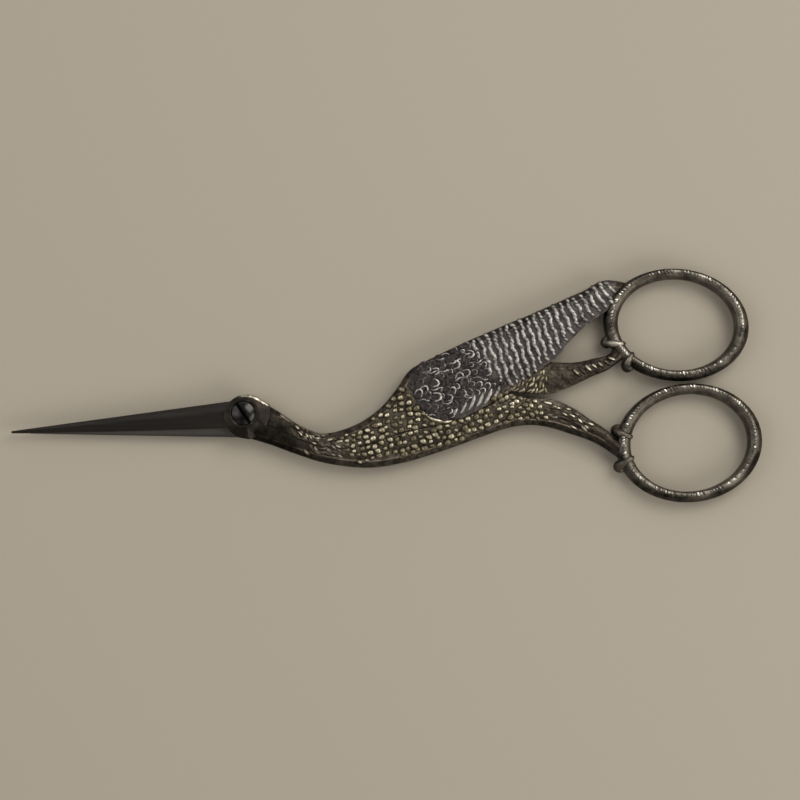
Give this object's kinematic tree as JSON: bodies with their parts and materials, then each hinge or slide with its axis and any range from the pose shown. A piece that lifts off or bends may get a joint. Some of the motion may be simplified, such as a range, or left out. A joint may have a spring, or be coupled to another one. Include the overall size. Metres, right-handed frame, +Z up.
{
  "type": "embroidery scissors",
  "caption": "Fine-pointed embroidery scissors in the traditional stork figure: long beak blades, a screw pivot as the eye, a ribbed folded wing and oval finger rings.",
  "frame": {"origin": "centre of the closed scissors' bounding box in plan, on the plane they lie on", "axes": "+X along the scissors from the blade tips to the finger rings, +Y towards the ring of the winged half, +Z up out of the face with the screw's head"},
  "size_m": [0.115, 0.0358, 0.0046],
  "materials": {
    "bronzed_steel": "antique bronze over forged steel, blade dark and polished",
    "silvered_steel": "antique silvered wing and bronzed body over forged steel",
    "polished_steel": "dark polished"
  },
  "bodies": {
    "far_half": {"far_half": "silvered_steel", "pivot_screw": "polished_steel"},
    "near_half": {"near_half": "bronzed_steel"}
  },
  "joints": [
    {"name": "pivot", "type": "hinge", "parent": "far_half", "child": "near_half", "pos_m": [-0.02189, -0.0042, 0.0021], "axis": [0, 0, -1], "range_deg": [0, 38]}
  ]
}
